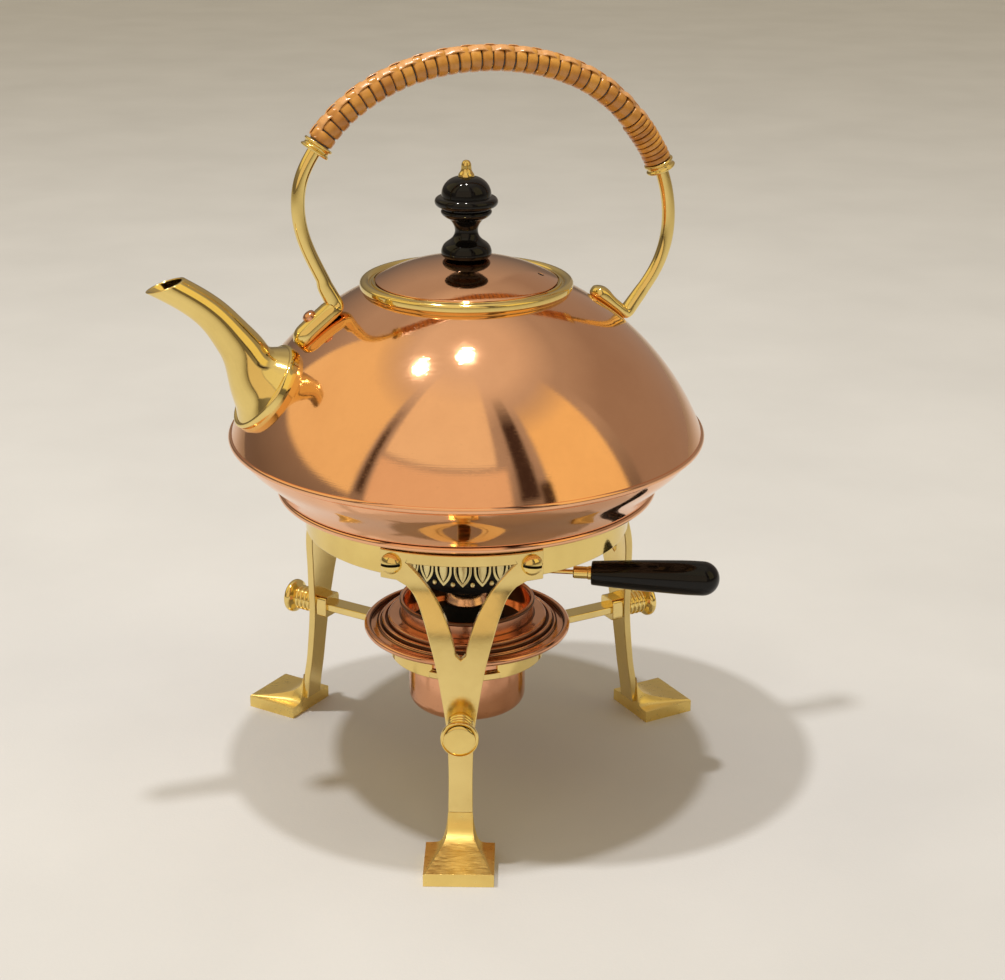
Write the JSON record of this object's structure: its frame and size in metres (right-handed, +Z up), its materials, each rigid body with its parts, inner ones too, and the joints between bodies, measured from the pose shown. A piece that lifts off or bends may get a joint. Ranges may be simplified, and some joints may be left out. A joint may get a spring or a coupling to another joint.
{
  "type": "spirit kettle on stand",
  "caption": "Copper and brass spirit kettle with a cane-wrapped bail handle, on a three-legged brass stand that holds a spirit burner with a turning regulator handle.",
  "frame": {"origin": "on the floor plane, under the middle of the bounding box; the kettle's vertical axis stands at x 6.8 mm, y 5.1 mm", "axes": "+Z up; -Y towards the front leg; the regulator handle points roughly along +X and the spout along -X, turned 20 degrees towards -Y"},
  "size_m": [0.1991, 0.1808, 0.2673],
  "materials": {
    "brass": "polished brass",
    "copper": null,
    "copper_dark": null,
    "black_metal": "black metal, satin",
    "ebonised_wood": "ebonised wood, glossy",
    "cane": "wrapped cane, varnished",
    "wick_cotton": "cotton wick"
  },
  "bodies": {
    "stand": {"leg_front": "brass", "leg_right": "brass", "leg_left": "brass", "hoop_front_right": "brass", "hoop_back": "brass", "hoop_front_left": "brass", "hoop_screws": "brass", "holder_band": "brass", "holder_arm_front": "brass", "holder_arm_right": "brass", "holder_arm_left": "brass"},
    "thumb_front": {"thumb_screw_front": "brass"},
    "thumb_right": {"thumb_screw_right": "brass"},
    "thumb_left": {"thumb_screw_left": "brass"},
    "burner": {"burner_reservoir": "copper_dark", "burner_saucer": "copper_dark", "burner_cup": "copper_dark", "burner_neck": "copper_dark", "wick": "wick_cotton"},
    "regulator": {"regulator_cap": "black_metal", "regulator_band": "brass", "regulator_rod": "brass", "regulator_ferrule": "brass", "regulator_grip": "ebonised_wood"},
    "kettle": {"kettle_shoulder": "copper", "kettle_lower": "copper", "kettle_bottom": "copper", "kettle_collar": "brass", "spout": "brass", "bail_bar": "brass", "bail_rivet": "copper", "bail_collars": "brass", "bail_wrap": "cane"},
    "lid": {"lid_dome": "copper", "lid_plug": "brass", "lid_knob": "ebonised_wood", "lid_finial": "brass"}
  },
  "joints": [
    {"name": "thumb_screw_front_turn", "type": "hinge", "parent": "stand", "child": "thumb_front", "pos_m": [0.0068, -0.0709, 0.0478], "axis": [0, -1, 0], "continuous": true},
    {"name": "thumb_screw_right_turn", "type": "hinge", "parent": "stand", "child": "thumb_right", "pos_m": [0.07262, 0.0431, 0.0478], "axis": [0.866, 0.5, 0], "continuous": true},
    {"name": "thumb_screw_left_turn", "type": "hinge", "parent": "stand", "child": "thumb_left", "pos_m": [-0.05902, 0.0431, 0.0478], "axis": [-0.866, 0.5, 0], "continuous": true},
    {"name": "kettle_lift", "type": "slide", "parent": "stand", "child": "kettle", "axis": [0, 0, 1], "range_m": [0, 0.06]},
    {"name": "lid_lift", "type": "slide", "parent": "kettle", "child": "lid", "axis": [0, 0, 1], "range_m": [0, 0.02]},
    {"name": "burner_lift", "type": "slide", "parent": "stand", "child": "burner", "axis": [0, 0, 1], "range_m": [0, 0.01]},
    {"name": "regulator_turn", "type": "hinge", "parent": "burner", "child": "regulator", "pos_m": [0.0068, 0.0051, 0.0774], "axis": [0, 0, 1], "range_deg": [-60, 12]}
  ]
}
